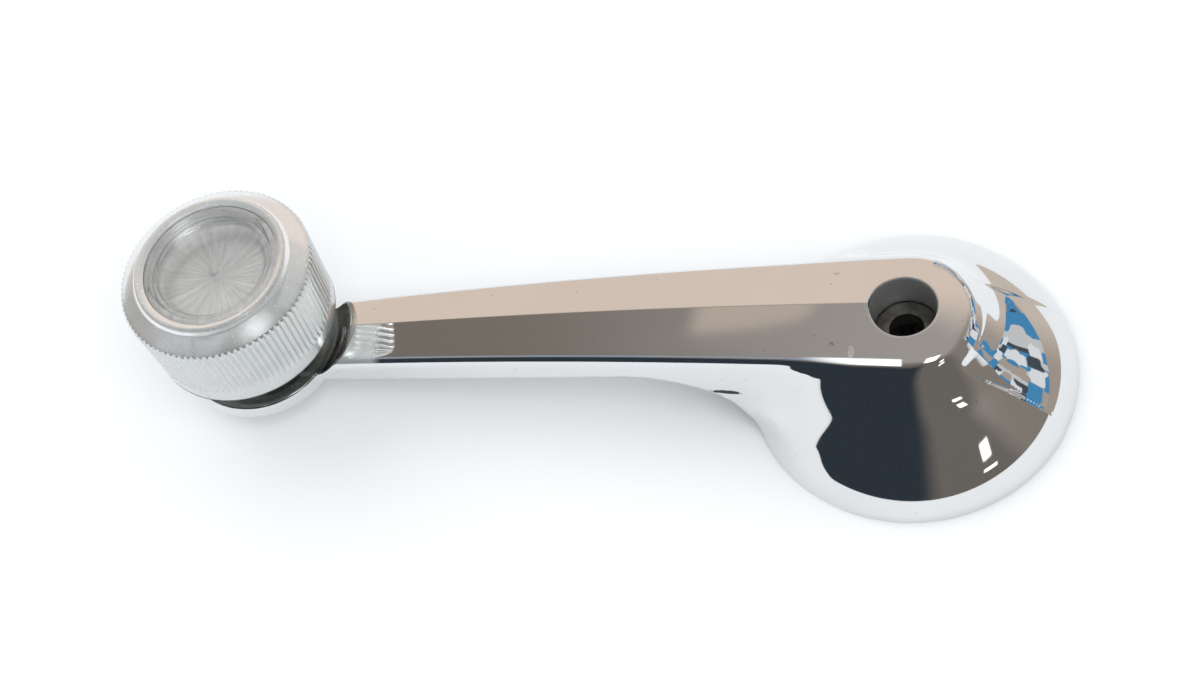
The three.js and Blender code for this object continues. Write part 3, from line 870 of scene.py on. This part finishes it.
def knob_reflector():
    r, foot, top = ring_sizes("knob_reflector")
    ray_face = [(float(a), foot + 0.5) for a in np.linspace(8.6, 0.5, 12)]
    outline = [
        (0, foot), (r - 2.0, foot, 0.3), (r, top - 0.5, 0.1), (r, top, 0.1), (r - 2.0, foot + 0.5, 0.3),
        *ray_face, (0, foot + 0.5),
    ]
    return turned("knob_reflector", outline, steps=304, closed=False, shape=rays)


def knob_spindle():
    """A shouldered pin: rivet and tail in the pad, collar on it, and a domed head on top."""
    collar_low = PAD_TOP + 0.3
    head_r, low, top = ring_sizes("knob_spindle")
    outline = [
        (0, low), (3.6, low, 0.5), (4.8, low + 0.9, 0.15), (2.9, low + 0.9), (2.9, collar_low),
        (5.6, collar_low, 0.2), (5.6, collar_low + 1.0, 0.2), (3.4, collar_low + 1.0, 0.1),
        (3.4, top - 1.6, 0.1), (head_r, top - 1.6, 0.25), (head_r, top - 0.8, 0.4), (head_r - 1.4, top, 0.8),
        (1.2, top, 0.1), (0.9, top - 0.3, 0.1), (0, top - 0.3),
    ]
    return turned("knob_spindle", outline, steps=96, closed=False)


def knob_bushing():
    r, foot, top = ring_sizes("knob_bushing")
    outline = [
        (3.7, foot, 0.15), (r, foot, 0.2), (r, foot + 1.0, 0.2), (r - 1.8, foot + 1.0, 0.1),
        (r - 1.8, top, 0.2), (3.7, top, 0.2),
    ]
    return turned("knob_bushing", outline, steps=96)


def thrust_washer():
    r, foot, top = ring_sizes("thrust_washer")
    outline = [(3.7, foot, 0.1), (r, foot, 0.12), (r, top, 0.12), (3.7, top, 0.1)]
    return turned("thrust_washer", outline, steps=96)


# ---- Build --------------------------------------------------------------------------------------

casting_piece = new_piece("crank_casting", crank_casting(), "crank", "chrome_plate", "crank_arm")
paint(casting_piece, chrome())

clear = acrylic("clear_acrylic", 0.58, 0.08, ((0.76, 0.79, 0.78), (0.86, 0.875, 0.87)))
clear_lens = acrylic("clear_lens", 0.20, 0.04, ((0.92, 0.925, 0.92), (0.98, 0.98, 0.975)))
above_knob = (-THROW, 0, 60)
below_hub = (0, 0, -40)
spindle_steel = turned_metal("bright_steel", (0.72, 0.71, 0.70), (0.42, 0.40, 0.38), 0.22, above_knob)
bushing_steel = turned_metal("zinc_plated_steel", (0.74, 0.74, 0.72), (0.52, 0.51, 0.48), 0.28, above_knob)
washer_steel = turned_metal("spring_steel", (0.36, 0.37, 0.41), (0.22, 0.22, 0.24), 0.3, above_knob)
sleeve_steel = turned_metal("dark_steel", (0.30, 0.30, 0.29), (0.15, 0.14, 0.13), 0.40, below_hub)

for name, make, body, slot, finish in (
    ("knob_body", knob_body, "knob", "clear_acrylic", clear),
    ("knob_lens", knob_lens, "knob", "clear_acrylic", clear_lens),
    ("knob_reflector", knob_reflector, "knob", "silver_foil", foil()),
    ("knob_bushing", knob_bushing, "knob", "zinc_plated_steel", bushing_steel),
    ("knob_spindle", knob_spindle, "crank", "bright_steel", spindle_steel),
    ("thrust_washer", thrust_washer, "crank", "black_fibre", fibre()),
):
    piece = new_piece(name + "_turned", make(), body, slot, name)
    paint(piece, finish)
    weighted(piece)

paint(frame["nodes"]["wave_washer"], washer_steel)
paint(frame["nodes"]["spline_sleeve"], sleeve_steel)

look_camera()
floor()
room()
boxes_beside()
world_light()
area_light("key", (0.25, -0.35, 0.75), (-0.03, 0, 0), 0.5, 2.7)
area_light("fill", (-0.5, 0.3, 0.8), (-0.03, 0, 0), 0.8, 1.8)

bpy.context.view_layer.update()
